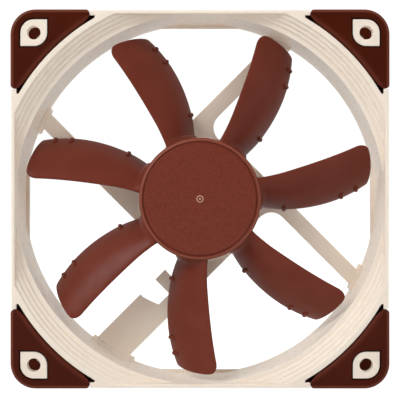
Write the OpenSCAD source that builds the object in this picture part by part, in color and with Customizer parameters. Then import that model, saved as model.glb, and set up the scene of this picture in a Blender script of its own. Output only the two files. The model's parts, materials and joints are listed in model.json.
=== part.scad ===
// Axial case fan, 120 mm size, standing upright with its intake facing -Y.
// Every part is drawn about the rotor axis first: x to the right, y up, and z
// towards the intake. "Depth" is the distance behind the intake face. The last
// turn stands the fan up, with the origin on the rotor axis at mid depth.

/* [Overall size] */
// Width and height over the corner pads
fan_w = 120; // [119:0.5:122]
// Depth of the fan along its axis
fan_depth = 25; // [25:0.5:30]

/* [Mounting] */
// Distance between neighbouring screw holes
hole_pitch = 105; // [104:0.5:106]
// Diameter of a screw hole
hole_d = 4.3; // [4:0.1:4.6]
// Thickness of a mounting flange with its pad
flange_t = 5; // [4.5:0.25:6]
// Half width of the leaf-shaped boss around a screw hole
boss_half = 4.2; // [3.8:0.1:4.4]

/* [Corner pads] */
// How far the pads stand out past the sides of the frame
pad_proud = 0.4; // [0.2:0.05:0.6]
// Thickness of the rubber over the faces of the flange
pad_skin = 1.3; // [1.1:0.1:1.5]
// Thickness of the rubber along the outer edges
pad_edge = 1.6; // [1.2:0.1:2]
// Distance from the centre lines to the ends of a pad
pad_reach = 35; // [34:0.5:38]
// Outer corner radius of a pad
pad_corner_r = 8; // [6:0.5:9]
// Width of the groove between a pad and the collar or boss it surrounds
pad_groove = 0.5; // [0.2:0.05:0.6]

/* [Duct] */
// Bore of the duct
duct_d = 118; // [116:0.5:118]
// Diameter of the intake opening before its steps
intake_d = 128.6; // [127:0.1:129]
// Outer diameter of the collars at both faces
collar_d = 132.4; // [131.6:0.1:132.8]
// Wall thickness of the barrel between the collars
barrel_wall = 2; // [1.6:0.1:2.4]
// Wall thickness where the flat sides cut the duct
flat_wall = 1.1; // [0.9:0.1:1.4]
// Number of steps round the intake
step_count = 4; // [3:1:4]
// Depth of one intake step
step_depth = 1; // [0.8:0.1:1.2]
// Width of one intake step
step_w = 1.2; // [1:0.1:1.3]
// How far the ledge at the outlet narrows the flat sides
ledge_w = 1; // [0.6:0.1:1.2]

/* [Struts] */
// Distance from the axis to the inner edge of a strut
strut_inner = 15.3; // [14.5:0.1:15.8]
// Width of a strut
strut_w = 5.1; // [4:0.1:5.3]
// Depth of a strut along the axis
strut_t = 4.3; // [4:0.1:4.5]
// Radius of the hollow curve between a strut and the motor base
strut_fillet = 5.4; // [4:0.1:6]
// Distance from the axis to the free edge of the cable cover
cable_inner = 8.5; // [8:0.1:9.5]
// Radius at which the cable cover starts
cable_cover_r = 38; // [34:0.5:44]

/* [Impeller] */
// Diameter over the blade tips
impeller_d = 112.6; // [110:0.1:113]
// Number of blades
blade_count = 7; // [5:1:8]
// Direction of the first blade's leading edge in degrees
first_blade = 17.5; // [0:0.1:51]
// Diameter of the hub
hub_d = 39; // [38.6:0.1:39.4]
// Arc that a blade covers where it leaves the hub
wrap_root = 26.5; // [24:0.1:29]
// Thickest part of a blade next to the hub
blade_t_root = 2; // [1.6:0.1:2.4]
// Thickest part of a blade at its tip
blade_t_tip = 1.3; // [1:0.1:1.6]
// Height of the curve of a blade above its chord
blade_camber = 1.5; // [0.8:0.1:1.8]
// Distances from the axis to the small ridges at the trailing edge
knobs = [27.8, 46.4, 51.3]; // [24:0.1:53]
// Radius of a ridge at the trailing edge
knob_r = 0.8; // [0.5:0.05:1]
// Height over which the leading corner of a blade tip is rounded
lead_round = 3.8; // [2:0.1:4.4]
// Length by which the leading corner of a blade tip is rounded
lead_round_l = 2.3; // [1:0.1:3]
// Height over which the trailing corner of a blade tip is rounded
tail_round = 1.2; // [0.8:0.1:2]
// Length by which the trailing corner of a blade tip is rounded
tail_round_l = 9; // [3:0.1:10]

/* [Motor] */
// Diameter of the motor base
base_d = 41; // [41:0.1:42]
// Diameter of the shaft
shaft_d = 3; // [2.9:0.1:3.1]
// Radial running clearance of the shaft
shaft_clearance = 0.04; // [0.02:0.01:0.08]
// Outer diameter of the stator core
stator_d = 29.6; // [29:0.1:30]
// Air gap between the stator core and the ring magnet
air_gap = 0.4; // [0.3:0.05:0.5]
// Number of stator poles, one coil each
pole_count = 4; // [4:1:4]

/* [Hidden] */
$fn = 96;
// Rotation of a corner or a strut, counted from the upper right one
quarter = 90;
// Overshoot of a cut past the face it opens
cut = 1;
// Radial fit of pieces that are pressed together
press = 0.01;

// Frame
half_w = fan_w / 2;
side = half_w - pad_proud;
hole_at = hole_pitch / 2;
duct_r = duct_d / 2;
collar_r = collar_d / 2;
barrel_r = duct_r + barrel_wall;
duct_flat = side - flat_wall;
tongue = half_w - pad_edge;
tongue_corner_r = pad_corner_r - pad_edge;
bar_w = 1.6;
bar_end = pad_reach - 0.2;
pocket_end = pad_reach - 1.8;
pocket_wall = 3;
ledge_t = 1.7;
boss_below = 0.2;
pad_lip = 0.3;
pad_hole_r = hole_d / 2 + 0.5;

// Struts and cable run
strut_back = fan_depth - 0.3;
strut_front = strut_back - strut_t;
strut_outer = strut_inner + strut_w;
base_r = base_d / 2;
foot_r = duct_r - 1.2;
foot_margin = 1.3;
foot_margin_outer = 2.1;
foot_front = strut_front - 0.4;
foot_back = fan_depth - 0.15;
foot_from = 45;
cover_t = 1.8;
cable_lip = 1;
cable_floor = strut_front + cover_t;
cable_bite = 0.3;
cable_w = strut_inner + cable_bite - cable_inner - cable_lip;
hook_at = 25.1;
hook_w = 4.6;
cable_turn = 270 - 45;
notch_x = -31.8;
notch_w = 4;

// Motor base
base_front = fan_depth - 5.3;
base_wall = 1.6;
base_floor = fan_depth - 1.6;
label_recess = 0.3;
label_r = 16.5;
label_t = 0.2;

// Impeller
tip_r = impeller_d / 2;
hub_r = hub_d / 2;
hub_front = 2;
hub_back = fan_depth - 6.1;
hub_skin = 2;
hub_wall = 1.5;
rim_round = 1.1;
groove_r = hub_r - 1.55;
groove_w = 0.35;
groove_t = 0.3;
lead_depth = 3.3;
trail_depth_root = hub_back - 1.7;
trail_depth_tip = hub_back - 2.9;
knob_from = 0.76;
knob_to = 0.94;
root_flare = 1.8;
root_flare_r = 2.6;
root_swell = 1.8;
root_swell_r = 1.5;
root_swell_from = 0.35;
section_steps = 10;
root_stations = 4;
mid_stations = 5;
tip_stations = 7;
station_count = root_stations + mid_stations + tip_stations + 1;
root_r = hub_r - 0.8;
lead_mid_r = 31.2;
lead_bow = 0.68;
lead_bow_r = 17;
root_lead = 1.86;
root_lead_r = 9;

// Rotor
yoke_r = hub_r - hub_wall - press;
yoke_t = 1;
yoke_top = hub_front + hub_skin;
yoke_back = hub_back - 0.6;
magnet_r = yoke_r - yoke_t - press;
magnet_bore = stator_d / 2 + air_gap;
magnet_front = yoke_top + yoke_t + 1;
magnet_back = yoke_back - 0.8;
rotor_boss_r = 3.2;
rotor_boss_front = hub_front + 1;
rotor_boss_back = yoke_top + yoke_t + 1;
shaft_r = shaft_d / 2;
shaft_groove_r = shaft_r - 0.45;

// Bearing
shell_r = 4.2;
shell_wall = 0.7;
shell_front = rotor_boss_back + 0.4;
shell_back = fan_depth - 1;
shell_floor = 0.6;
shell_bore = shell_r - shell_wall;
thrust_t = 0.6;
thrust_front = shell_back - shell_floor - thrust_t;
end_play = 0.05;
shaft_back = thrust_front - end_play;
seal_front = shell_front + 0.2;
seal_t = 0.7;
sleeve_front = seal_front + seal_t + 0.1;
sleeve_back = shaft_back - 2.8;
clip_t = 0.5;
clip_front = sleeve_back + 0.05;
ring_front = clip_front + clip_t + 0.1;
ring_t = 1.4;
ring_bore = shaft_r + 0.4;

// Stator
core_t = 6;
core_front = (magnet_front + magnet_back) / 2 - core_t / 2;
core_mid = core_front + core_t / 2;
core_r = stator_d / 2;
core_hub_r = 6;
pole_w = 3;
pole_tip_t = 2.6;
pole_tip_arc = 72;
sheet_t = 0.8;
skirt_t = 0.5;
flange_in = 5.8;
coil_in = 6.6;
coil_out = 11.2;
flange_out = 12;
cheek_w = 7.6;
cheek_h = 1.6;
coil_gap = 0.02;
coil_thick = 1.6;
coil_corner = 1.2;

// Circuit board
board_t = 1.2;
board_front = base_front + 0.5;
board_back = board_front + board_t;
board_r = base_r - base_wall - 0.3;
socket_r = 6.2;

// ---------- helpers ----------

// Stands a part that is drawn about the rotor axis upright
module upright() {
    rotate([90, 0, 0]) children();
}

// Extrudes an outline between two depths behind the intake face
module slab(from, to) {
    translate([0, 0, fan_depth / 2 - to]) linear_extrude(to - from) children();
}

// Extrudes an outline between two distances in from an outer face of the fan
module layer(face, from, to) {
    inward = face > 0 ? -1 : 1;
    near = face + inward * from;
    far = face + inward * to;
    slab(min(near, far), max(near, far)) children();
}

// Round disc or washer between two depths
module washer(r, bore, from, to) {
    slab(from, to) difference() {
        circle(r = r);
        if (bore > 0) circle(r = bore);
    }
}

module rounded_square(half, r) {
    straight = half - r;
    square([2 * half, 2 * straight], center = true);
    square([2 * straight, 2 * half], center = true);
    for (sx = [-1, 1], sy = [-1, 1]) translate([sx * straight, sy * straight]) circle(r = r);
}

// Circle with two opposite corners left square, as the bosses have
module leaf(half) {
    circle(r = half);
    translate([-half, 0]) square(half);
    translate([0, -half]) square(half);
}

// ---------- frame ----------

// Closed outline of the barrel or of a collar, cut by the flat sides
module flat_sided(r) {
    intersection() {
        circle(r = r);
        square(2 * side, center = true);
    }
}

// Rims that carry the flat sides on to the ends of the pads
module side_bars() {
    for (k = [0:3]) rotate(k * quarter) {
        translate([-bar_end, side - bar_w]) square([2 * bar_end, bar_w]);
        translate([-pocket_end, side - pocket_wall]) square([2 * pocket_end, pocket_wall]);
    }
}

// The flange plate that the pads are slipped over, with its four bosses
module flange(face) {
    layer(face, 0, flange_t) {
        flat_sided(collar_r);
        side_bars();
    }
    layer(face, pad_skin, flange_t - pad_skin) rounded_square(tongue, tongue_corner_r);
    layer(face, boss_below, flange_t / 2)
        for (k = [0:3]) rotate(k * quarter) translate([hole_at, hole_at]) leaf(boss_half);
}

// Air path: a stepped intake that narrows to a plain bore
module air_path() {
    steps = [for (i = [0:step_count - 1], edge = [0, 1])
        [intake_d / 2 - i * step_w, fan_depth / 2 + (i + edge == 0 ? cut : -(i + edge) * step_depth)]];
    profile = concat(
        [[0, -fan_depth / 2 - cut], [0, fan_depth / 2 + cut]],
        steps,
        [[duct_r, fan_depth / 2 - step_count * step_depth], [duct_r, -fan_depth / 2 - cut]]
    );
    intersection() {
        rotate_extrude() polygon(profile);
        union() {
            slab(-2 * cut, fan_depth - ledge_t) square(2 * duct_flat, center = true);
            slab(fan_depth - ledge_t, fan_depth + 2 * cut)
                square(2 * (duct_flat - ledge_w), center = true);
        }
    }
}

module screw_holes(from, to) {
    slab(from, to)
        for (k = [0:3]) rotate(k * quarter) translate([hole_at, hole_at]) circle(d = hole_d);
}

// Outline of one strut, running out along +x, with its curve into the base
module strut_outline() {
    reach = sqrt(pow(base_r + strut_fillet, 2) - pow(strut_inner - strut_fillet, 2));
    near = base_r / (base_r + strut_fillet);
    fillet_y = strut_inner - strut_fillet;
    translate([0, strut_inner]) square([duct_r - 2.4, strut_w]);
    difference() {
        polygon([
            [0, 0],
            [reach * near, fillet_y * near],
            [reach, fillet_y],
            [reach, strut_inner + 1],
            [0, strut_inner + 1]
        ]);
        translate([reach, fillet_y]) circle(r = strut_fillet);
    }
}

// Thickened arc where a strut or the cable cover meets the barrel
module foot_outline(inner) {
    intersection() {
        difference() {
            circle(r = duct_r + 0.5);
            circle(r = foot_r);
        }
        translate([foot_from, inner - foot_margin])
            square([duct_r - foot_from, strut_outer + foot_margin_outer - inner + foot_margin]);
    }
}

// Wide outer part of the cable strut, seen from the front as one plate
module cable_cover_outline(width) {
    difference() {
        translate([0, cable_inner]) square([duct_r - 2.4, width]);
        circle(r = cable_cover_r);
    }
}

module struts() {
    for (k = [0:3]) rotate(45 + k * quarter) {
        slab(strut_front, strut_back) strut_outline();
        slab(foot_front, foot_back) foot_outline(k == 2 ? cable_inner : strut_inner);
    }
    rotate(cable_turn) {
        slab(strut_front, cable_floor) cable_cover_outline(strut_inner - cable_inner + 1);
        slab(cable_floor - 0.5, strut_back) cable_cover_outline(cable_lip);
        slab(strut_front, cable_floor) translate([hook_at, cable_inner])
            square([hook_w, strut_inner - cable_inner + 1]);
        slab(cable_floor - 0.5, strut_back) translate([hook_at, cable_inner])
            square([hook_w, cable_lip]);
    }
}

// Channel for the cable: out of the motor base, along the strut and out of the rim
module cable_channel() {
    slab(cable_floor, fan_depth + cut) {
        rotate(cable_turn) {
            translate([base_r * 0.6, cable_inner + cable_lip]) square([base_r * 0.6, cable_w]);
            translate([foot_from, cable_inner + cable_lip]) square([duct_r - foot_from, cable_w]);
        }
        translate([notch_x - notch_w / 2, -half_w]) square([notch_w, half_w - duct_r * 0.8]);
    }
}

// Shallow cup that holds the circuit board and the bearing
module motor_base() {
    washer(base_r, base_r - base_wall, base_front, fan_depth);
    washer(base_r - base_wall / 2, 0, base_floor, fan_depth);
    washer(socket_r, 0, board_back, fan_depth);
}

module frame() {
    color("antiquewhite") upright() difference() {
        union() {
            difference() {
                union() {
                    slab(0, fan_depth) flat_sided(barrel_r);
                    flange(0);
                    flange(fan_depth);
                }
                air_path();
                screw_holes(-cut, fan_depth + cut);
            }
            struts();
            motor_base();
        }
        washer(shell_r + press, 0, base_front - cut, shell_back);
        washer(base_r - base_wall, socket_r, base_front - cut, base_floor);
        washer(socket_r + cut, 0, base_front - cut, board_back);
        washer(label_r + 0.1, 0, fan_depth - label_recess, fan_depth + cut);
        cable_channel();
    }
}

// ---------- corner pads ----------

module pad_outline() {
    intersection() {
        difference() {
            rounded_square(half_w, pad_corner_r);
            circle(r = collar_r + pad_groove);
        }
        polygon([
            [pad_reach, half_w + 1],
            [pad_reach, half_w - 2.3],
            [pad_reach + 3, half_w - 5.6],
            [half_w - 5.6, pad_reach + 3],
            [half_w - 2.3, pad_reach],
            [half_w + 1, pad_reach],
            [half_w + 1, half_w + 1]
        ]);
    }
}

// Outline of the thin lip that fills the bottom of the grooves and of the pockets
module pad_lip_outline() {
    intersection() {
        difference() {
            rounded_square(half_w, pad_corner_r);
            circle(r = collar_r + press);
        }
        union() {
            translate([pad_reach, pad_reach]) square(half_w);
            translate([pocket_end + press, pocket_end + press])
                square(side - bar_w - pocket_end - 2 * press);
        }
    }
}

// One rubber pad of U section, slipped over a corner of a flange
module pad(corner, face) {
    color([0.24, 0.09, 0.06]) upright() rotate(corner * quarter) difference() {
        union() {
            layer(face, 0, flange_t) pad_outline();
            layer(face, pad_skin - pad_lip, flange_t - pad_skin + pad_lip) pad_lip_outline();
        }
        layer(face, pad_skin, flange_t - pad_skin) rounded_square(tongue, tongue_corner_r);
        translate([hole_at, hole_at]) {
            layer(face, -cut, pad_skin - pad_lip) leaf(boss_half + pad_groove);
            layer(face, -cut, pad_skin + cut) leaf(boss_half + press);
            layer(face, pad_skin + cut / 2, flange_t + cut) circle(r = pad_hole_r);
        }
    }
}

// ---------- impeller ----------

// Angle of the leading edge ahead of the blade's own direction
function lead_angle(r) =
    lead_bow * pow((r - lead_mid_r) / lead_bow_r, 2)
    + root_lead * pow(max(0, 1 - (r - hub_r) / root_lead_r), 2);

// Length that a tip corner, rounded as a quarter of an ellipse, takes off the chord
function corner_cut(r, height, length) =
    let (past = min(1, max(0, r - tip_r + height) / height))
    length * (1 - sqrt(1 - past * past));

// Arc covered from the leading to the trailing edge
function wrap_angle(r) =
    let (out = r - 21)
    wrap_root - 0.2555 * out - 0.0035 * out * out;

function outward(r) = (r - hub_r) / (tip_r - hub_r);
function trail_depth(r) = trail_depth_root + outward(r) * (trail_depth_tip - trail_depth_root);

// Thickness grows quickly into the hub, which rounds the root
function blade_t(r) =
    blade_t_root + outward(r) * (blade_t_tip - blade_t_root)
    + root_flare * pow(max(0, 1 - (r - hub_r) / root_flare_r), 2);

// Swelling of the intake face where the trailing part of a blade joins the hub
function root_bulge(r, share) =
    root_swell * sqrt(max(0, 1 - pow(max(0, r - hub_r) / root_swell_r, 2)))
    * sin(180 * max(0, share - root_swell_from) / (1 - root_swell_from));

// Point on the skin of a blade: turn runs 0 at the leading to 180 at the trailing
// edge, and side is 1 on the face towards the intake and -1 on the other
function skin_point(r, turn, side) =
    let (
        chord = wrap_angle(r) * PI / 180 * r,
        first = corner_cut(r, lead_round, lead_round_l) / chord,
        last = 1 - corner_cut(r, tail_round, tail_round_l) / chord,
        share = (1 - cos(turn)) / 2,
        t = first + (last - first) * share,
        rise = trail_depth(r) - lead_depth,
        span = sqrt(chord * chord + rise * rise),
        bow = 4 * blade_camber * t * (1 - t),
        slope = 4 * blade_camber * (1 - 2 * t),
        along = chord + slope * rise / span,
        back = rise - slope * chord / span,
        norm = sqrt(along * along + back * back),
        body = side * blade_t(r) / 2 * pow(sin(turn), 0.7) * (1.15 - 0.45 * t),
        half = body + max(0, side) * root_bulge(r, share),
        arc = t * chord + bow * rise / span + half * back / norm,
        depth = lead_depth + t * rise - bow * chord / span - half * along / norm,
        angle = lead_angle(r) - arc / r * 180 / PI
    )
    [r * cos(angle), r * sin(angle), fan_depth / 2 - depth];

// Radii of the sections, closer together at the root and at the tip
function station(i) =
    let (
        flare_end = hub_r + root_flare_r,
        mid = i - root_stations,
        near_tip = mid - mid_stations
    )
    mid < 0 ? root_r + (flare_end - root_r) * i / root_stations
    : near_tip < 0 ? flare_end + (tip_r - lead_round - flare_end) * mid / mid_stations
    : tip_r - lead_round * (1 - sin(90 * near_tip / tip_stations));

module blade() {
    ring = 2 * section_steps;
    points = [
        for (i = [0:station_count - 1], k = [0:ring - 1])
            k <= section_steps
            ? skin_point(station(i), 180 * k / section_steps, 1)
            : skin_point(station(i), 180 * (ring - k) / section_steps, -1)
    ];
    walls = [
        for (i = [0:station_count - 2], k = [0:ring - 1], half = [0, 1])
            let (a = i * ring + k, b = i * ring + (k + 1) % ring)
            half == 0 ? [a, b + ring, b] : [a, a + ring, b + ring]
    ];
    last = (station_count - 1) * ring;
    root_cap = [
        for (k = [0:section_steps - 1], half = [0, 1])
            let (under = (ring - k) % ring, next_under = ring - k - 1)
            if (half == 0 ? k < section_steps - 1 : k > 0)
                half == 0 ? [k, k + 1, next_under] : [k, next_under, under]
    ];
    tip_cap = [for (face = root_cap) [last + face[0], last + face[2], last + face[1]]];
    polyhedron(points, concat(walls, root_cap, tip_cap));
}

// Small ridges that run out to the trailing edge, on the face towards the intake
module edge_knobs() {
    for (r = knobs) {
        inner = skin_point(r, acos(1 - 2 * knob_from), 1);
        run = skin_point(r, acos(1 - 2 * knob_to), 1) - inner;
        translate(inner) rotate([0, acos(run[2] / norm(run)), atan2(run[1], run[0])])
            cylinder(h = norm(run), r1 = knob_r / 2, r2 = knob_r, $fn = 24);
    }
}

// Outline of the hub from the axis out, turned round it
module hub_outline() {
    front = fan_depth / 2 - hub_front;
    back = fan_depth / 2 - hub_back;
    steps = 4;
    polygon(concat(
        [[0, front], [groove_r, front], [groove_r, front - groove_t],
         [groove_r + groove_w, front - groove_t], [groove_r + groove_w, front]],
        [for (i = [0:steps]) let (turn = 90 * i / steps)
            [hub_r - rim_round * (1 - sin(turn)), front - rim_round * (1 - cos(turn))]],
        [[hub_r, back], [hub_r - hub_wall, back], [hub_r - hub_wall, front - hub_skin],
         [rotor_boss_r + press, front - hub_skin], [rotor_boss_r + press, front - 1], [0, front - 1]]
    ));
}

module impeller() {
    color([0.46, 0.2, 0.16]) upright() {
        rotate_extrude() hub_outline();
        for (k = [0:blade_count - 1]) rotate(first_blade + k * 360 / blade_count) {
            blade();
            edge_knobs();
        }
    }
}

// ---------- rotor ----------

module rotor_yoke() {
    color("lightsteelblue") upright() {
        washer(yoke_r, rotor_boss_r + press, yoke_top, yoke_top + yoke_t);
        washer(yoke_r, yoke_r - yoke_t, yoke_top, yoke_back);
    }
}

module rotor_magnet() {
    color("dimgray") upright() washer(magnet_r, magnet_bore, magnet_front, magnet_back);
}

module rotor_boss() {
    color("goldenrod") upright() difference() {
        washer(rotor_boss_r, 0, rotor_boss_front, rotor_boss_back);
        washer(shaft_r + press, 0, rotor_boss_front + 0.4, rotor_boss_back + cut);
    }
}

module shaft() {
    color("silver") upright() difference() {
        washer(shaft_r, 0, rotor_boss_front + 0.4, shaft_back);
        washer(shaft_r + cut, shaft_groove_r, clip_front - 0.1, clip_front + clip_t + 0.1);
    }
}

// ---------- bearing ----------

module bearing_shell() {
    color("goldenrod") upright() difference() {
        washer(shell_r, 0, shell_front, shell_back);
        washer(shell_bore, 0, shell_front - cut, shell_back - shell_floor);
    }
}

module bearing_sleeve() {
    color("peru") upright()
        washer(shell_bore - press, shaft_r + shaft_clearance, sleeve_front, sleeve_back);
}

module oil_seal() {
    color("ivory") upright()
        washer(shell_bore - press, shaft_r + 0.15, seal_front, seal_front + seal_t);
}

// Split washer that sits in the groove of the shaft
module retaining_clip() {
    color("whitesmoke") upright() slab(clip_front, clip_front + clip_t) difference() {
        circle(r = shell_bore - press);
        circle(r = shaft_groove_r + 0.1);
        translate([0, -0.25]) square([shell_bore + cut, 0.5]);
    }
}

module stabiliser_magnet() {
    color("dimgray") upright()
        washer(shell_bore - press, ring_bore, ring_front, ring_front + ring_t);
}

module thrust_plate() {
    color("white") upright()
        washer(shell_bore - press, 0, thrust_front, thrust_front + thrust_t);
}

// ---------- stator ----------

// Copies an outline or a solid to each pole
module each_pole() {
    for (k = [0:pole_count - 1]) rotate(k * 360 / pole_count) children();
}

module stator_core() {
    color("slategray") upright() slab(core_front, core_front + core_t) difference() {
        union() {
            circle(r = core_hub_r);
            each_pole() {
                translate([0, -pole_w / 2]) square([core_r - 1, pole_w]);
                difference() {
                    intersection() {
                        circle(r = core_r);
                        polygon([[0, 0],
                            [2 * core_r, -2 * core_r * tan(pole_tip_arc / 2)],
                            [2 * core_r, 2 * core_r * tan(pole_tip_arc / 2)]]);
                    }
                    circle(r = core_r - pole_tip_t);
                }
            }
        }
        circle(r = shell_r + press);
    }
}

// One half of the bobbin; end is 1 for the intake side and -1 for the other
module insulator(end) {
    top = core_t / 2;
    core_z = fan_depth / 2 - core_mid;
    inner = pole_w / 2;
    upright() translate([0, 0, core_z]) mirror([0, 0, end > 0 ? 0 : 1]) {
        translate([0, 0, top]) linear_extrude(sheet_t) difference() {
            union() {
                circle(r = core_hub_r);
                each_pole() translate([0, -inner - skirt_t])
                    square([flange_out, pole_w + 2 * skirt_t]);
            }
            circle(r = shell_r + 3 * press);
        }
        each_pole() {
            for (y = [inner, -inner - skirt_t]) translate([flange_in, y, press])
                cube([flange_out - flange_in, skirt_t, top]);
            for (x = [flange_in, coil_out + coil_gap])
                translate([x, -cheek_w / 2, top])
                    cube([coil_in - flange_in - coil_gap, cheek_w, sheet_t + cheek_h]);
        }
    }
}

module upper_insulator() {
    color("ivory") insulator(1);
}

module lower_insulator() {
    color("ivory") insulator(-1);
}

// Copper winding round one pole
module coil(pole) {
    hole_w = pole_w + 2 * skirt_t + 2 * coil_gap;
    hole_h = core_t + 2 * sheet_t + 2 * coil_gap;
    color("chocolate") upright()
        translate([0, 0, fan_depth / 2 - core_mid]) rotate(pole * 360 / pole_count)
        translate([coil_in, 0, 0]) rotate([90, 0, 90]) linear_extrude(coil_out - coil_in)
        difference() {
            union() {
                square([hole_w + 2 * coil_thick, hole_h + 2 * (coil_thick - coil_corner)], center = true);
                square([hole_w + 2 * (coil_thick - coil_corner), hole_h + 2 * coil_thick], center = true);
                for (sx = [-1, 1], sy = [-1, 1])
                    translate([sx * (hole_w / 2 + coil_thick - coil_corner),
                               sy * (hole_h / 2 + coil_thick - coil_corner)])
                        circle(r = coil_corner, $fn = 32);
            }
            square([hole_w, hole_h], center = true);
        }
}

// ---------- circuit board ----------

module circuit_board() {
    color("darkgreen") upright() washer(board_r, shell_r + 0.2, board_front, board_back);
}

// Senses the ring magnet from the board's intake side
module hall_sensor() {
    color("black") upright() rotate(45) translate([magnet_bore - 0.4, -2, 0])
        slab(board_front - 1.5, board_front) square([1.5, 4]);
}

module driver_chip() {
    color("black") upright() translate([-12.5, 3, 0])
        slab(board_back, board_back + 1.5) square([4, 5]);
}

module capacitors() {
    color("tan") upright() {
        for (x = [3, 8]) translate([x, 9, 0]) slab(board_back, board_back + 1.3) square([3.2, 1.6]);
        translate([9.5, -6.5, 0]) washer(2, 0, board_back, board_back + 1.6);
    }
}

// ---------- label ----------

module rear_label() {
    color("gainsboro") upright()
        washer(label_r, 0, fan_depth - label_recess, fan_depth - label_recess + label_t);
}

// ---------- assembly ----------

frame();
pad(0, 0);  // pad_front_upper_right
pad(1, 0);  // pad_front_upper_left
pad(2, 0);  // pad_front_lower_left
pad(3, 0);  // pad_front_lower_right
pad(0, fan_depth);  // pad_rear_upper_right
pad(1, fan_depth);  // pad_rear_upper_left
pad(2, fan_depth);  // pad_rear_lower_left
pad(3, fan_depth);  // pad_rear_lower_right
bearing_shell();
bearing_sleeve();
oil_seal();
retaining_clip();
stabiliser_magnet();
thrust_plate();
stator_core();
upper_insulator();
lower_insulator();
coil(0);  // coil_right
coil(1);  // coil_top
coil(2);  // coil_left
coil(3);  // coil_bottom
circuit_board();
hall_sensor();
driver_chip();
capacitors();
rear_label();
impeller();
rotor_yoke();
rotor_magnet();
rotor_boss();
shaft();
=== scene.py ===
# Looks of the axial case fan: materials, an impeller, frame and pads that stand for the
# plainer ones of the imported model, a soft studio and the camera. Blender works in metres.
# The rotor axis is the Y axis, with the intake towards -Y.
import json
import math

import bmesh
import bpy
import numpy as np
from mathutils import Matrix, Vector


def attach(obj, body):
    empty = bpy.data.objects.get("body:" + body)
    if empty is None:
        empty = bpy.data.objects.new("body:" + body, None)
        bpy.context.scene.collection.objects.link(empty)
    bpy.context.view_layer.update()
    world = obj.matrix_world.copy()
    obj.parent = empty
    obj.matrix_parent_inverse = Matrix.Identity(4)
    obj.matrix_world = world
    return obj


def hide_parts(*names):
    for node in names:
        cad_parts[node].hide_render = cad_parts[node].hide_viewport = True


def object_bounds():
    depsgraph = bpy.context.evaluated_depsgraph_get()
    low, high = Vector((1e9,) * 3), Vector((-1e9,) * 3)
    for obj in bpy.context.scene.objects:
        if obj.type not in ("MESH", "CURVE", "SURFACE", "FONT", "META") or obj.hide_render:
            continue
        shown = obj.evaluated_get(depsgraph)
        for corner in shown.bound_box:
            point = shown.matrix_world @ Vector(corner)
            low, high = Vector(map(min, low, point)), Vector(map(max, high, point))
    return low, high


MM = 0.001

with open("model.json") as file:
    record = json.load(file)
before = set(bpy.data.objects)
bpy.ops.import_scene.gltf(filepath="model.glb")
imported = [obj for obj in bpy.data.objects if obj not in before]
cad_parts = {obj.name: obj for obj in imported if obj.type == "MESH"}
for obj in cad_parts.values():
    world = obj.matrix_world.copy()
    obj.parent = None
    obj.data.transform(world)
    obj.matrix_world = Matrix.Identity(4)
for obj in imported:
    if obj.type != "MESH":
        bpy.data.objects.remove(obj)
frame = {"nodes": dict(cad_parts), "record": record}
cad_low, cad_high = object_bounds()
nodes = frame["nodes"]
scene = bpy.context.scene


# ---------- shader helpers ----------

class Nodes:
    """Builds the nodes of a material or of the world."""

    def __init__(self, tree):
        self.tree = tree

    def node(self, kind, inputs=None, **settings):
        made = self.tree.nodes.new(kind)
        for key, value in settings.items():
            setattr(made, key, value)
        for key, value in (inputs or {}).items():
            self.put(made.inputs[key], value)
        return made

    def put(self, socket, value):
        if isinstance(value, bpy.types.NodeSocket):
            self.tree.links.new(value, socket)
        else:
            socket.default_value = value

    def math(self, operation, *values):
        made = self.node("ShaderNodeMath", operation=operation)
        for socket, value in zip(made.inputs, values):
            self.put(socket, value)
        return made.outputs[0]

    def product(self, first, *others):
        for other in others:
            first = self.math("MULTIPLY", first, other)
        return first

    def diagonal(self, across, up):
        """Length of the diagonal of a rectangle."""
        return self.math("SQRT", self.math("ADD", self.product(across, across), self.product(up, up)))

    def between(self, value, low, high):
        """1 where value lies between low and high, otherwise 0."""
        return self.product(
            self.math("GREATER_THAN", value, low), self.math("LESS_THAN", value, high))

    def spread(self, value, low, high, to_low=0.0, to_high=1.0):
        """Stretches value from low..high to to_low..to_high, held at the ends."""
        made = self.node(
            "ShaderNodeMapRange",
            {"Value": value, "From Min": low, "From Max": high, "To Min": to_low, "To Max": to_high},
        )
        return made.outputs["Result"]

    def mix(self, factor, first, second):
        """From the first colour at 0 to the second at 1."""
        made = self.node("ShaderNodeMix", data_type="RGBA")
        self.put(made.inputs[0], factor)
        self.put(made.inputs[6], first)
        self.put(made.inputs[7], second)
        return made.outputs[2]


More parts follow.
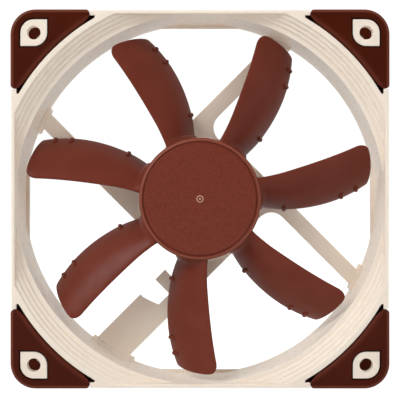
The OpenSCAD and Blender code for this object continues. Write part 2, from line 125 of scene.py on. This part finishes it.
class Shader(Nodes):
    """A Principled material whose patterns are worked out from the object's own coordinates."""

    def __init__(self, name, roughness=0.5, metallic=0.0, specular=0.5):
        self.name = name
        self.material = bpy.data.materials.new(name)
        self.material.use_nodes = True
        super().__init__(self.material.node_tree)
        self.bsdf = self.tree.nodes["Principled BSDF"]
        self.bsdf.inputs["Roughness"].default_value = roughness
        self.bsdf.inputs["Metallic"].default_value = metallic
        self.bsdf.inputs["Specular IOR Level"].default_value = specular
        self.point = self.node("ShaderNodeTexCoord").outputs["Object"]
        self.normal = None

    def coordinates(self):
        """Sockets for x, y and z in metres."""
        return self.node("ShaderNodeSeparateXYZ", {"Vector": self.point}).outputs

    def noise(self, size, detail=2.0, roughness=0.5, point=None):
        """Noise from 0 to 1 whose grains are about size metres across."""
        made = self.node(
            "ShaderNodeTexNoise",
            {"Vector": point or self.point, "Scale": 1 / size, "Detail": detail, "Roughness": roughness},
        )
        return made.outputs["Fac"]

    def bump(self, height, distance):
        """Raises the surface by height times distance, on top of any earlier bump."""
        made = self.node("ShaderNodeBump", {"Height": height, "Distance": distance, "Strength": 1.0})
        if self.normal is not None:
            self.put(made.inputs["Normal"], self.normal)
        self.normal = made.outputs[0]
        self.put(self.bsdf.inputs["Normal"], self.normal)

    def colour(self, value):
        self.put(self.bsdf.inputs["Base Color"], value)

    def overlay(self, factor, value):
        """Lays a colour over the base colour, as strongly as factor says."""
        self.colour(self.mix(factor, self.bsdf.inputs["Base Color"].links[0].from_socket, value))

    def roughness(self, value):
        self.put(self.bsdf.inputs["Roughness"], value)


def hexcolour(text):
    """Linear colour from an sRGB hex number."""
    levels = [int(text[i:i + 2], 16) / 255 for i in (0, 2, 4)]
    linear = [c / 12.92 if c <= 0.04045 else ((c + 0.055) / 1.055) ** 2.4 for c in levels]
    return (*linear, 1.0)


def moulded(name, dark, light, roughness, grain, grain_depth, specular=0.5):
    """Moulded plastic or rubber: soft colour clouds and a fine spark-eroded grain."""
    s = Shader(name, roughness, specular=specular)
    clouds = s.spread(s.noise(9 * MM, 3.0), 0.3, 0.7)
    s.colour(s.mix(clouds, hexcolour(dark), hexcolour(light)))
    s.roughness(s.spread(s.noise(2.5 * MM, 3.0), 0.3, 0.7, roughness - 0.05, roughness + 0.05))
    s.bump(s.noise(grain, 2.0, 0.6), grain_depth)
    return s


def metal(name, colour, roughness, stretch=(1, 1, 1), size=0.4 * MM):
    """Metal with fine marks that may be drawn out along one direction."""
    s = Shader(name, roughness, metallic=1.0)
    scaled = s.node("ShaderNodeMapping", {"Vector": s.point, "Scale": stretch}).outputs[0]
    marks = s.noise(size, 3.0, 0.6, scaled)
    base = hexcolour(colour)
    s.colour(s.mix(s.spread(marks, 0.3, 0.7), [c * 0.8 for c in base[:3]] + [1], base))
    s.roughness(s.spread(marks, 0.3, 0.7, roughness - 0.06, roughness + 0.08))
    s.bump(marks, 0.01 * MM)
    return s


# ---------- sizes in millimetres ----------

# Y of the intake face, from which all depths are counted
INTAKE = -12.5

# Hub, with a groove round its grained disc and a gate mark in the middle
HUB_R = 19.5
HUB_FRONT = 2.0
HUB_BACK = 18.9
HUB_RIM = 1.1
GROOVE_R = HUB_R - 1.55
DISC_GRAIN = 0.28
DISC_GRAIN_DEPTH = 0.06
GATE_DOT_R = 0.33
GATE_RING_R = 0.98
GATE_RING_HALF = 0.16

# Blades
BLADES = 7
FIRST_BLADE = math.radians(17.5)
TIP_R = 56.3
TIP_EDGE = 0.3
# Arc of a blade in degrees, and how it shrinks with the radius past WRAP_R
WRAP = (26.5, 0.2555, 0.0035)
WRAP_R = 21
# Depth of the leading edge, and how far the trailing one stays clear of the hub's back,
# at the root and more by the tip
LEAD_DEPTH = 3.3
TAIL_CLEAR = 1.7
TAIL_CLEAR_TIP = 1.2
CAMBER = 1.5
# Thickness at the root, its loss by the tip, and its flare beside the hub
THICK = 2
THICK_LOSS = 0.7
FLARE = 1.8
FLARE_R = 2.6
# Share of the thickness at the leading edge, and its loss by the trailing one
TAPER = (1.15, 0.45)
# Outline of the section: 1 is an ellipse, and less is fuller at the ends
FULLNESS = 0.7
# Bow of the leading edge in degrees, and its sweep beside the hub
BOW = 0.68
BOW_MIDDLE_R = 31.2
BOW_R = 17
SWEEP = 1.86
SWEEP_R = 9
# Height and length of the rounded corners of a blade tip
LEAD_ROUND = (3.8, 2.3)
TAIL_ROUND = (1.2, 9.0)
# Small ridges on the trailing part of a blade, at these radii, from and to these shares of
# the chord
RIDGES = (27.8, 46.4, 51.3)
RIDGE_R = 0.8
RIDGE_FROM = 0.8
RIDGE_TO = 0.94
# Shares of a ridge's length where its rounded start ends and its rounded end begins
RIDGE_NOSE = 0.3
RIDGE_TAIL = 0.85
# Swelling of the intake face where the trailing part of a blade joins the hub: its height,
# its reach past the hub, and the share of the chord it starts at
ROOT_SWELL = 1.8
ROOT_SWELL_R = 1.5
ROOT_SWELL_FROM = 0.35

# Dimples in staggered rows round the bore, whose wall lies between the radii of BORE_R.
# DIMPLE_R holds the radii of a dimple's floor and of its rim.
DIMPLES = 62
DIMPLE_PITCH = 5.94
DIMPLE_R = (0.2, 0.5)
DIMPLE_DEPTH = 0.12
ROW_PITCH = 5.1
ROWS = 3
ROWS_START = -6.5
BORE_R = (57, 59.3)

# Stepped intake of the frame: its radii, and the depth it ends at
STEPS_R = (60, 64.6)
STEPS_END = 4.2
# Screw holes stand this far from the middle both ways, in bosses of this half width
HOLE = 52.5
BOSS_HALF = 5

# Corner pads, whose outer corner is an arc about PAD_CENTRE. Their faces, past PAD_FACE in
# depth, carry a painted highlight past PAD_BORDER_R on that arc and within PAD_COLLAR_R of
# the rotor axis.
PAD_CENTRE = 52
PAD_FACE = 11.2
PAD_BORDER_R = 6.8
PAD_COLLAR_R = 67.4
# Their edges are rounded most past PAD_OUTER_R on the arc and past PAD_SIDE on the sides,
# and less within PAD_INNER_R of the rotor axis
PAD_OUTER_R = 7.7
PAD_SIDE = 59.8
PAD_INNER_R = 67

# Widths of the rounding along the sharp edges of the frame and the pads
STEP_EDGE = 0.4
BOSS_EDGE = 0.07
FRAME_EDGE = 0.2
BORDER_EDGE = 1.2
COLLAR_EDGE = 0.6
PAD_EDGE = 0.12
EDGE_SEGMENTS = 4


# ---------- materials of the visible pieces ----------

def frame_plastic():
    """Beige plastic, with the staggered rows of small dimples round the bore; painted shade darkens
    their pits.
    """
    s = moulded("frame_plastic", "f6e8d8", "f7eadb", 0.4, 0.22 * MM, 0.008 * MM)
    s.bsdf.inputs["Subsurface Weight"].default_value = 0.4
    s.bsdf.inputs["Subsurface Radius"].default_value = (1.0, 0.9, 0.8)
    s.bsdf.inputs["Subsurface Scale"].default_value = 0.9 * MM
    x, y, z = s.coordinates()
    row = s.math("DIVIDE", s.math("SUBTRACT", y, ROWS_START * MM), ROW_PITCH * MM)
    around = s.product(s.math("ARCTAN2", z, x), DIMPLES / (2 * math.pi))
    shifted = s.math("ADD", around, s.product(s.math("FLOOR", row), 0.5))
    across = s.product(s.math("SUBTRACT", s.math("FRACT", shifted), 0.5), DIMPLE_PITCH)
    along = s.product(s.math("SUBTRACT", s.math("FRACT", row), 0.5), ROW_PITCH)
    dimple = s.spread(s.diagonal(across, along), *DIMPLE_R, 1.0, 0.0)
    in_bore = s.between(s.diagonal(x, z), BORE_R[0] * MM, BORE_R[1] * MM)
    dimples = s.product(dimple, s.between(row, 0.0, float(ROWS)), in_bore)
    s.bump(s.math("SUBTRACT", 1.0, dimples), DIMPLE_DEPTH * MM)
    # Painted shade: the pits of the dimples are coloured darker, as shade falls in them.
    s.overlay(s.product(dimples, 0.55), hexcolour("8f7c66"))
    return s


def impeller_plastic():
    """Brown plastic with a grained disc on the hub; the mark of its moulding gate and the hub's rounded
    rim carry painted highlights.
    """
    s = moulded("impeller_plastic", "6b2d1e", "733325", 0.35, 0.35 * MM, 0.006 * MM, 0.18)
    x, y, z = s.coordinates()
    radius = s.diagonal(x, z)
    on_front = s.math("LESS_THAN", y, (INTAKE + HUB_FRONT + 0.2) * MM)
    on_disc = s.product(s.math("LESS_THAN", radius, (GROOVE_R - 0.2) * MM), on_front)
    grain = s.noise(DISC_GRAIN * MM, 2.0, 0.7)
    s.bump(s.product(grain, on_disc), DISC_GRAIN_DEPTH * MM)
    speckle = s.mix(s.spread(grain, 0.35, 0.65), hexcolour("6a2c1d"), hexcolour("7d3b2c"))
    s.overlay(on_disc, speckle)
    # Painted highlight: the rounded rim is painted lighter, in place of the highlight it catches
    from_groove = s.spread(radius, (HUB_R - HUB_RIM) * MM, (HUB_R - 0.7) * MM)
    to_side = s.spread(radius, (HUB_R - 0.5) * MM, (HUB_R - 0.1) * MM, 1.0, 0.0)
    on_rim = s.math("LESS_THAN", y, (INTAKE + HUB_FRONT + HUB_RIM) * MM)
    s.overlay(s.product(from_groove, to_side, on_rim, 0.3), hexcolour("b8735f"))
    # Painted highlight: the ring and dot of the gate mark are painted pale, in place of the highlights
    # their edges catch.
    off_ring = s.math("ABSOLUTE", s.math("SUBTRACT", radius, GATE_RING_R * MM))
    ring = s.math("LESS_THAN", off_ring, GATE_RING_HALF * MM)
    dot = s.math("LESS_THAN", radius, GATE_DOT_R * MM)
    gate = s.product(s.math("MAXIMUM", ring, dot), on_front)
    s.overlay(s.product(gate, 0.75), hexcolour("d9a896"))
    return s


def pad_rubber():
    """Dark silicone, with a painted highlight along its outer border and beside the collar."""
    s = moulded("pad_rubber", "421507", "4b190a", 0.35, 0.3 * MM, 0.003 * MM, 0.1)
    x, y, z = s.coordinates()
    past = [
        s.math("MAXIMUM", s.math("SUBTRACT", s.math("ABSOLUTE", side), PAD_CENTRE * MM), 0.0)
        for side in (x, z)
    ]
    border = s.spread(s.diagonal(*past), PAD_BORDER_R * MM, (PAD_BORDER_R + 0.3) * MM)
    by_collar = s.spread(s.diagonal(x, z), PAD_COLLAR_R * MM, (PAD_COLLAR_R + 1) * MM, 0.3, 0.0)
    by_face = s.spread(s.math("ABSOLUTE", y), PAD_FACE * MM, (PAD_FACE + 0.4) * MM)
    # Painted highlight: the rounded border and the edge beside the collar are painted lighter, in place
    # of the highlights they catch.
    painted_edge_highlight = s.product(s.math("MAXIMUM", s.product(border, 0.6), by_collar), by_face)
    s.overlay(painted_edge_highlight, hexcolour("7c3f30"))
    return s


# ---------- materials of the motor, and the table of all materials ----------

def stripes(s, coordinate, pitch, depth):
    """Fine ridges side by side, such as stacked sheets or turns of wire."""
    wave = s.math("SINE", s.product(coordinate, 2 * math.pi / pitch))
    s.bump(s.spread(wave, -1.0, 1.0), depth)
    return s


def laminations():
    """Stacked steel sheets."""
    s = metal("core_steel", "6d6f73", 0.4)
    return stripes(s, s.coordinates()["Y"], 0.5 * MM, 0.04 * MM)


def winding():
    """Turns of wire, side by side along the pole that they are wound on."""
    s = metal("copper_wire", "b5602c", 0.3)
    x, y, z = s.coordinates()
    outward = s.math("MAXIMUM", s.math("ABSOLUTE", x), s.math("ABSOLUTE", z))
    return stripes(s, outward, 0.25 * MM, 0.08 * MM)


SHADERS = [
    metal("brass", "c9a35a", 0.25),
    metal("sintered_bronze", "9c6b3c", 0.45, size=0.1 * MM),
    metal("shaft_steel", "d5d6d8", 0.18, (1, 0.05, 1)),
    metal("yoke_steel", "a9abb0", 0.35),
    laminations(),
    winding(),
    moulded("ferrite", "1c1c1e", "262628", 0.6, 0.1 * MM, 0.01 * MM),
    moulded("nylon", "e0d9c8", "ece6d8", 0.45, 0.3 * MM, 0.01 * MM),
    moulded("circuit_laminate", "0e4a26", "125a30", 0.3, 0.4 * MM, 0.006 * MM),
    moulded("component_black", "121213", "1b1b1c", 0.5, 0.15 * MM, 0.01 * MM),
    moulded("capacitor_tan", "84643d", "94744c", 0.4, 0.2 * MM, 0.01 * MM),
    moulded("label_film", "c2bfb8", "cbc8c1", 0.38, 0.5 * MM, 0.004 * MM),
    frame_plastic(),
    pad_rubber(),
    impeller_plastic(),
]
MATERIALS = {s.name: s.material for s in SHADERS}


# ---------- impeller ----------

def corner_cut(r, corner):
    """Length that a rounded tip corner takes off the chord at radius r."""
    height, length = corner
    past = np.clip((r - TIP_R + height) / height, 0, 1)
    return length * (1 - np.sqrt(1 - past ** 2))


def skin(r, t, half_scale, inset=0.0):
    """Point on a blade at radius r and place t along the chord, 0 leading to 1 trailing.
    half_scale is how far out the point is: 1 on the intake face, -1 on the other, 0 between."""
    wrap, shrink, curl = WRAP
    chord = np.radians(wrap - shrink * (r - WRAP_R) - curl * (r - WRAP_R) ** 2) * r
    first = (corner_cut(r, LEAD_ROUND) + inset) / chord
    last = 1 - (corner_cut(r, TAIL_ROUND) + inset) / chord
    along_chord = first + (last - first) * t
    share = (r - HUB_R) / (TIP_R - HUB_R)
    rise = HUB_BACK - TAIL_CLEAR - TAIL_CLEAR_TIP * share - LEAD_DEPTH
    span = np.sqrt(chord ** 2 + rise ** 2)
    bow = 4 * CAMBER * along_chord * (1 - along_chord)
    slope = 4 * CAMBER * (1 - 2 * along_chord)
    along = chord + slope * rise / span
    back = rise - slope * chord / span
    norm = np.sqrt(along ** 2 + back ** 2)
    flare = FLARE * np.maximum(0, 1 - (r - HUB_R) / FLARE_R) ** 2
    thick = (THICK - THICK_LOSS * share + flare) * (TAPER[0] - TAPER[1] * along_chord)
    edge = (2 * np.sqrt(np.maximum(0, t * (1 - t)))) ** FULLNESS
    half = half_scale * np.maximum(0, thick / 2 * edge - inset)
    swell = np.sqrt(np.maximum(0, 1 - (np.maximum(0, r - HUB_R) / ROOT_SWELL_R) ** 2))
    swell = swell * np.sin(math.pi * np.maximum(0, t - ROOT_SWELL_FROM) / (1 - ROOT_SWELL_FROM))
    half = half + max(0, half_scale) * ROOT_SWELL * swell
    arc = along_chord * chord + bow * rise / span + half * back / norm
    depth = LEAD_DEPTH + along_chord * rise - bow * chord / span - half * along / norm
    bowed = BOW * ((r - BOW_MIDDLE_R) / BOW_R) ** 2
    lead = bowed + SWEEP * np.maximum(0, 1 - (r - HUB_R) / SWEEP_R) ** 2
    angle = np.radians(lead) - arc / r
    return np.stack([r * np.cos(angle), depth + INTAKE, r * np.sin(angle)], -1)


def blade_mesh(steps=28):
    """One blade as a closed grid: rings round the section, from inside the hub to the tip."""
    free = TIP_R - TIP_EDGE
    corner = TIP_R - LEAD_ROUND[0]
    radii = np.concatenate([
        [HUB_R - 0.8],
        HUB_R + ROOT_SWELL_R * np.sin(np.linspace(0, math.pi / 2, 12)),
        np.linspace(HUB_R + ROOT_SWELL_R, HUB_R + FLARE_R, 4, endpoint=False)[1:],
        np.linspace(HUB_R + FLARE_R, corner, 30, endpoint=False),
        corner + (free - corner) * np.sin(np.linspace(0, math.pi / 2, 20, endpoint=False)),
        free + TIP_EDGE * np.sin(np.linspace(0, math.pi / 2, 7)),
    ])
    insets = TIP_EDGE - np.sqrt(np.maximum(0, TIP_EDGE ** 2 - np.maximum(0, radii - free) ** 2))
    t_front = (1 - np.cos(np.linspace(0, math.pi, steps, endpoint=False))) / 2
    t_back = (1 - np.cos(np.linspace(math.pi, 0, steps, endpoint=False))) / 2
    rings = []
    for r, inset in zip(radii, insets):
        rings.append(np.concatenate([skin(r, t_front, 1, inset), skin(r, t_back, -1, inset)]))
    return tube(rings, 2 * steps)


def tube(rings, count):
    """Closed mesh over rings of count points each, with a flat cap at both ends."""
    faces = []
    for i in range(len(rings) - 1):
        for k in range(count):
            a, b = i * count + k, i * count + (k + 1) % count
            faces.append((a, b, b + count, a + count))
    last = (len(rings) - 1) * count
    faces.append(tuple(range(count))[::-1])
    faces.append(tuple(range(last, last + count)))
    return np.concatenate(rings), faces


def ridge_mesh(r, steps=16, count=14):
    """A small rounded ridge on the intake face that runs out to the trailing edge."""
    rings = []
    for i in range(steps + 1):
        run = i / steps
        t = RIDGE_FROM + (RIDGE_TO - RIDGE_FROM) * run
        base = skin(np.float64(r), np.float64(t), 1)
        ahead = skin(np.float64(r), np.float64(t + 0.004), 1) - base
        ahead /= np.linalg.norm(ahead)
        under = skin(np.float64(r), np.float64(t), -1)
        up = base - under
        up -= ahead * np.dot(up, ahead)
        up /= np.linalg.norm(up)
        across = np.cross(ahead, up)
        nose = math.sqrt(max(0.0, 1 - (1 - min(1.0, run / RIDGE_NOSE)) ** 2))
        tail = math.sqrt(max(0.0, 1 - (max(0.0, run - RIDGE_TAIL) / (1 - RIDGE_TAIL)) ** 2))
        size = RIDGE_R * (0.1 + 0.9 * nose * (0.7 + 0.3 * run)) * max(tail, 0.05)
        turn = np.arange(count) * 2 * math.pi / count
        centre = base + up * (0.3 * run - 0.05)
        rings.append(centre + size * (np.outer(np.cos(turn), across) + np.outer(np.sin(turn), up)))
    return tube(rings, count)


def hub_profile():
    """(radius, depth) round the hub: gate mark, disc, groove, rounded rim, skirt and inside."""
    front = HUB_FRONT
    groove = GROOVE_R
    dot = [(0, -0.06), (GATE_DOT_R - 0.05, -0.06), (GATE_DOT_R + 0.03, 0.0)]
    ring = [(-0.18, 0.0), (-0.11, -0.07), (0.1, -0.07), (0.17, 0.0)]
    line = [(r, front + d) for r, d in dot]
    line += [(GATE_RING_R + r, front + d) for r, d in ring]
    line += [(r, front) for r in np.linspace(2, groove - 0.35, 6)]
    line += [(groove - 0.2, front + 0.02), (groove - 0.08, front + 0.07), (groove, front + 0.16)]
    line += [(groove + 0.03, front + 0.3), (groove + 0.32, front + 0.3)]
    line += [(groove + 0.35, front + 0.1), (groove + 0.41, front + 0.02)]
    for turn in np.linspace(math.radians(8), math.pi / 2, 9):
        inward, behind = HUB_RIM * (1 - math.sin(turn)), HUB_RIM * (1 - math.cos(turn))
        line.append((HUB_R - inward, front + behind))
    line += [(HUB_R, d) for d in np.linspace(front + HUB_RIM + 1, HUB_BACK - 0.2, 6)]
    line += [(HUB_R - 0.2, HUB_BACK), (HUB_R - 1.3, HUB_BACK), (HUB_R - 1.5, HUB_BACK - 0.2)]
    line += [(HUB_R - 1.5, front + 2), (3.3, front + 2), (3.2, front + 1), (0, front + 1)]
    return line


def revolve(profile, count):
    """Turns a (radius, depth) line about the Y axis. Points on the axis are single."""
    points, rows = [], []
    for r, depth in profile:
        if r == 0:
            rows.append([len(points)] * count)
            points.append((0, depth + INTAKE, 0))
            continue
        rows.append(list(range(len(points), len(points) + count)))
        for k in range(count):
            a = 2 * math.pi * k / count
            points.append((r * math.cos(a), depth + INTAKE, r * math.sin(a)))
    faces = []
    for near, far in zip(rows, rows[1:]):
        for k in range(count):
            n = (k + 1) % count
            loop = dict.fromkeys((near[k], near[n], far[n], far[k]))
            faces.append(tuple(loop))
    return np.array(points, float), faces


def add_mesh(name, parts):
    """One object from several (points, faces) parts in millimetres."""
    points, faces = [], []
    for part_points, part_faces in parts:
        start = len(points)
        points += [tuple(p) for p in np.asarray(part_points) * MM]
        faces += [tuple(start + i for i in face) for face in part_faces]
    mesh = bpy.data.meshes.new(name)
    mesh.from_pydata(points, [], faces)
    mesh.validate()
    mesh.update()
    made = bpy.data.objects.new(name, mesh)
    scene.collection.objects.link(made)
    return made


def turned(points, angle):
    """Points turned about the Y axis, +X towards +Z."""
    c, s = math.cos(angle), math.sin(angle)
    x, y, z = points.T
    return np.stack([c * x - s * z, y, s * x + c * z], -1)


def build_impeller():
    parts = [revolve(hub_profile(), 192)]
    one_blade = [blade_mesh()] + [ridge_mesh(r) for r in RIDGES]
    for k in range(BLADES):
        angle = FIRST_BLADE + 2 * math.pi * k / BLADES
        parts += [(turned(points, angle), faces) for points, faces in one_blade]
    made = add_mesh("impeller_moulding", parts)
    made.data.materials.append(MATERIALS["impeller_plastic"])
    for polygon in made.data.polygons:
        polygon.use_smooth = True
    return made


impeller = build_impeller()
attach(impeller, "rotor")
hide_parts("impeller")


# ---------- frame and pads ----------

def dress(piece, slot):
    piece.data.materials.clear()
    piece.data.materials.append(MATERIALS[slot])


def rounded(name, width_at, widest):
    """Stands for a CAD node with the same shape, its sharp edges rounded as a moulding's are.
    width_at gives the width of the rounding in millimetres from the middle of an edge."""
    mesh = nodes[name].data.copy()
    work = bmesh.new()
    work.from_mesh(mesh)
    bmesh.ops.remove_doubles(work, verts=work.verts, dist=0.001 * MM)
    bmesh.ops.dissolve_limit(work, angle_limit=math.radians(0.5), verts=work.verts, edges=work.edges)
    weight = work.edges.layers.float.new("bevel_weight_edge")
    for edge in work.edges:
        if len(edge.link_faces) == 2 and edge.calc_face_angle() > math.radians(30):
            middle = (edge.verts[0].co + edge.verts[1].co) / 2 / MM
            edge[weight] = width_at(middle) / widest
    for face in work.faces:
        face.smooth = True
    work.to_mesh(mesh)
    work.free()
    made = bpy.data.objects.new(name + "_moulding", mesh)
    scene.collection.objects.link(made)
    bevel = made.modifiers.new("bevel", "BEVEL")
    bevel.width = widest * MM
    bevel.segments = EDGE_SEGMENTS
    bevel.limit_method = "WEIGHT"
    bevel.use_clamp_overlap = False
    bevel.miter_outer = "MITER_ARC"
    normals = made.modifiers.new("normals", "WEIGHTED_NORMAL")
    normals.keep_sharp = False
    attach(made, "frame")
    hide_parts(name)
    dress(made, slots[name])


def frame_edge(middle):
    """Softer on the stepped intake than elsewhere, and sharpest at the screw bosses."""
    radius = math.hypot(middle.x, middle.z)
    if STEPS_R[0] < radius < STEPS_R[1] and middle.y < INTAKE + STEPS_END:
        return STEP_EDGE
    if max(abs(abs(middle.x) - HOLE), abs(abs(middle.z) - HOLE)) < BOSS_HALF:
        return BOSS_EDGE
    return FRAME_EDGE


def pad_edge(middle):
    """Round along the outer border of a pad, tighter beside the collar."""
    x, z = abs(middle.x), abs(middle.z)
    on_corner = min(x, z) > PAD_CENTRE and math.hypot(x - PAD_CENTRE, z - PAD_CENTRE) > PAD_OUTER_R
    if on_corner or max(x, z) > PAD_SIDE:
        return BORDER_EDGE
    if math.hypot(x, z) < PAD_INNER_R:
        return COLLAR_EDGE
    return PAD_EDGE


slots = {part["node"]: part["material_slot"] for part in frame["record"]["subparts"]}
rounded("frame", frame_edge, STEP_EDGE)
for name, node in nodes.items():
    if slots[name] == "pad_rubber":
        rounded(name, pad_edge, BORDER_EDGE)
    elif name not in ("frame", "impeller"):
        dress(node, slots[name])


# ---------- studio, in metres and watts ----------

# Light from all round, at the side the camera stands on and behind the fan
FRONT_GLOW = 0.03
BACK_GLOW = 1.02
# Share of that light that gloss shows, and how bright the backdrop looks to the camera
REFLECTED = 0.45
BACKDROP = 1.05
# What the floor gives off, to the pieces and to the camera
FLOOR_GLOW = 0.35
FLOOR_LEVEL = 0.92
FLOOR_SIDE = 6
KEY_PLACE = (-0.75, -0.68, 0.72)
KEY_SIZE = (0.9, 0.5)
KEY_POWER = 5.8
FILLS = 4
FILL_R = 1.05
FILL_Y = -0.95
FILL_SIZE = (0.9, 0.9)
FILL_POWER = 4.5
CAMERA_Y = -0.3525
CAMERA_LENS = 97
CAMERA_SHIFT = -0.0027


def add_light(name, place, size, power):
    """A softbox that faces the fan."""
    data = bpy.data.lights.new(name, "AREA")
    data.shape = "RECTANGLE"
    data.size, data.size_y = size
    data.energy = power
    lamp = bpy.data.objects.new(name, data)
    lamp.location = place
    lamp.rotation_euler = (-Vector(place)).to_track_quat("-Z", "Y").to_euler()
    scene.collection.objects.link(lamp)
    return lamp


def add_world():
    """White all round, bright behind the fan and dim at the side the camera stands on."""
    world = bpy.data.worlds.new("studio")
    world.use_nodes = True
    sky = Nodes(world.node_tree)
    background = sky.tree.nodes["Background"]
    background.inputs["Color"].default_value = (1, 1, 1, 1)
    outward = sky.node("ShaderNodeTexCoord").outputs["Generated"]
    behind = sky.node("ShaderNodeSeparateXYZ", {"Vector": outward}).outputs["Y"]
    rays = sky.node("ShaderNodeLightPath").outputs
    glow = sky.product(
        sky.spread(behind, -0.9, 0.2, FRONT_GLOW, BACK_GLOW),
        sky.spread(rays["Is Glossy Ray"], 0.0, 1.0, 1.0, REFLECTED),
    )
    level = sky.node("ShaderNodeMix", {"Factor": rays["Is Camera Ray"], "A": glow, "B": BACKDROP})
    sky.put(background.inputs["Strength"], level.outputs["Result"])
    scene.world = world


def add_floor():
    """Pale floor that the fan stands on. It also gives off light, as a lit sweep does."""
    far = FLOOR_SIDE / 2 / MM
    around = ((-far, -far), (far, -far), (far, far), (-far, far))
    corners = [(x, y, cad_low.z / MM) for x, y in around]
    floor = add_mesh("studio_floor", [(corners, [(0, 1, 2, 3)])])
    s = Shader("studio_floor", 0.6, specular=0.2)
    s.colour(s.mix(s.noise(300 * MM, 2.0), (0.34, 0.34, 0.34, 1), (0.36, 0.36, 0.36, 1)))
    s.bump(s.noise(2 * MM, 3.0), 0.05 * MM)
    s.bsdf.inputs["Emission Color"].default_value = (1, 1, 1, 1)
    seen = s.node("ShaderNodeLightPath").outputs["Is Camera Ray"]
    emission = s.spread(seen, 0.0, 1.0, FLOOR_GLOW, FLOOR_LEVEL)
    s.put(s.bsdf.inputs["Emission Strength"], emission)
    floor.data.materials.append(s.material)


def add_camera():
    """Straight in front of the intake."""
    data = bpy.data.cameras.new("camera")
    data.lens = CAMERA_LENS
    data.shift_y = CAMERA_SHIFT
    data.clip_start = 0.01
    camera = bpy.data.objects.new("camera", data)
    camera.location = (0, CAMERA_Y, 0)
    camera.rotation_euler = (math.radians(90), 0, 0)
    scene.collection.objects.link(camera)
    scene.camera = camera


scene.view_settings.view_transform = "Standard"
add_world()
add_floor()
# The key softbox stands to the upper left
add_light("key", KEY_PLACE, KEY_SIZE, KEY_POWER)
# Weak softboxes all round in front lift the shadows, without highlights of their own.
# The two lower ones stand under the floor.
for number in range(FILLS):
    turn = math.radians(45) + 2 * math.pi * number / FILLS
    place = (FILL_R * math.cos(turn), FILL_Y, FILL_R * math.sin(turn))
    fill = add_light("fill_%d" % number, place, FILL_SIZE, FILL_POWER)
    fill.visible_glossy = False
add_camera()
